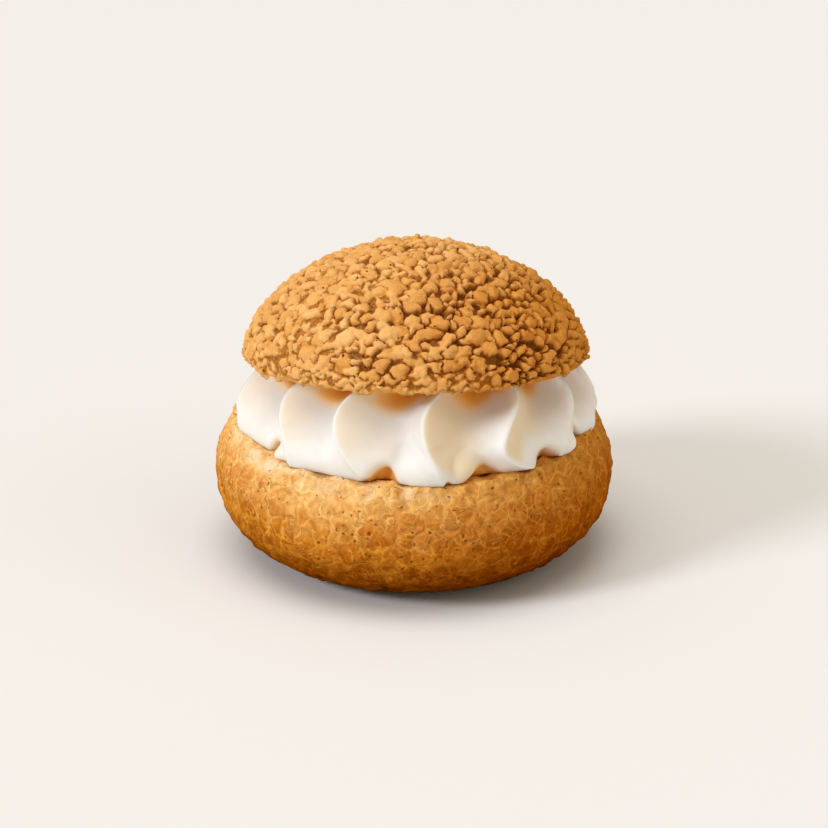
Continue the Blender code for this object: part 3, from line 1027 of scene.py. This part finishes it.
def makeCreamMaterial():
    material, tree, shader = newMaterial("whippedCream")
    paints = creamColours
    place = objectPlace(tree)
    mottle = remap(tree, noiseTexture(tree, place, 160.0)["Fac"], 0.35, 0.65)
    holes = useGroup(tree, pitGroup, Scale=300.0, Width=0.07, Share=0.12)["Hole"]
    recessShade = attribute(tree, "recessShade")
    colour = blendColour(tree, mottle, *[paint(*c) for c in paints["fresh"]])
    colour = painted(tree, colour, (
        (times(tree, attribute(tree, "leeShade"), 0.8), paints["leeShade"]),
        (remap(tree, recessShade, 0.08, 0.5), paints["recessShadeEdge"]),
        (remap(tree, recessShade, 0.3, 0.85), paints["recessShadeDeep"]),
        (times(tree, holes, 0.25), paints["pinHole"]),
    ))
    tree.links.new(colour, shader.inputs["Base Color"])
    shader.inputs["Roughness"].default_value = 0.42
    shader.inputs["Specular IOR Level"].default_value = 0.2
    shader.inputs["Subsurface Weight"].default_value = 0.45
    shader.inputs["Subsurface Radius"].default_value = (1.0, 0.62, 0.35)
    shader.inputs["Subsurface Scale"].default_value = 0.0045
    fine = noiseTexture(tree, place, 700.0)["Fac"]
    normal = bumped(tree, ((fine, 0.08, 0.0002), (holes, -0.3, 0.0002)))
    tree.links.new(normal, shader.inputs["Normal"])
    return material


stage = {
    "floorSize": 6.0,
    "floorColour": (0.8, 0.8, 0.8, 1.0),
    "lamps": {
        "keyLamp": {"turn": -62, "up": 30, "softness": 16, "power": 1.65, "colour": (0.93, 0.97, 1.04)},
        "fillLamp": {"turn": 65, "up": 24, "softness": 60, "power": 0.42, "colour": (1.0, 0.93, 0.8)},
        "topLamp": {"turn": -40, "up": 80, "softness": 50, "power": 1.35, "colour": (0.98, 0.99, 1.0)},
    },
    "sky": 0.44,
    "skyColour": (1.0, 0.86, 0.66, 1.0),
}


def addLamp(name, lamp):
    data = bpy.data.lights.new(name, "SUN")
    data.angle = math.radians(lamp["softness"])
    data.energy = lamp["power"]
    data.color = lamp["colour"]
    piece = bpy.data.objects.new(name, data)
    bpy.context.scene.collection.objects.link(piece)
    turn, up = math.radians(lamp["turn"]), math.radians(lamp["up"])
    toward = Vector((math.sin(turn) * math.cos(up), -math.cos(turn) * math.cos(up), math.sin(up)))
    piece.location = toward
    piece.rotation_euler = toward.to_track_quat("Z", "Y").to_euler()


def makeStage():
    bm = bmesh.new()
    bmesh.ops.create_grid(bm, x_segments=1, y_segments=1, size=stage["floorSize"] / 2)
    floor = asObject("floor", bm)
    material, _, shader = newMaterial("paleFloor")
    shader.inputs["Base Color"].default_value = stage["floorColour"]
    shader.inputs["Roughness"].default_value = 0.8
    floor.data.materials.append(material)
    for name, lamp in stage["lamps"].items():
        addLamp(name, lamp)
    world = bpy.data.worlds.new("paleRoom")
    world.use_nodes = True
    world.node_tree.nodes["Background"].inputs["Color"].default_value = stage["skyColour"]
    world.node_tree.nodes["Background"].inputs["Strength"].default_value = stage["sky"]
    bpy.context.scene.world = world
    bpy.context.scene.view_settings.view_transform = "Standard"


def makeCamera():
    data = bpy.data.cameras.new("camera")
    data.sensor_width = 36
    data.lens = data.sensor_width * view["distance"] / view["frameWidth"]
    data.clip_start = 0.01
    piece = bpy.data.objects.new("camera", data)
    bpy.context.scene.collection.objects.link(piece)
    down = math.radians(view["lookDown"])
    toward = Vector((0, -math.cos(down), math.sin(down)))
    piece.location = Vector(view["aim"]) + toward * view["distance"]
    piece.rotation_euler = toward.to_track_quat("Z", "Y").to_euler()
    bpy.context.scene.camera = piece


def dress(piece, material, node):
    piece.data.materials.clear()
    piece.data.materials.append(material)
    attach(piece, "root")
    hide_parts(node)
    print(piece.name, "has", sum(len(p.vertices) - 2 for p in piece.data.polygons), "triangles")


makeCamera()
makeStage()
dress(makeLid(), makeCrackleMaterial(), "lid")
dress(makeBase(), makeCrustMaterial(), "base")
dress(makeCream(), makeCreamMaterial(), "cream")
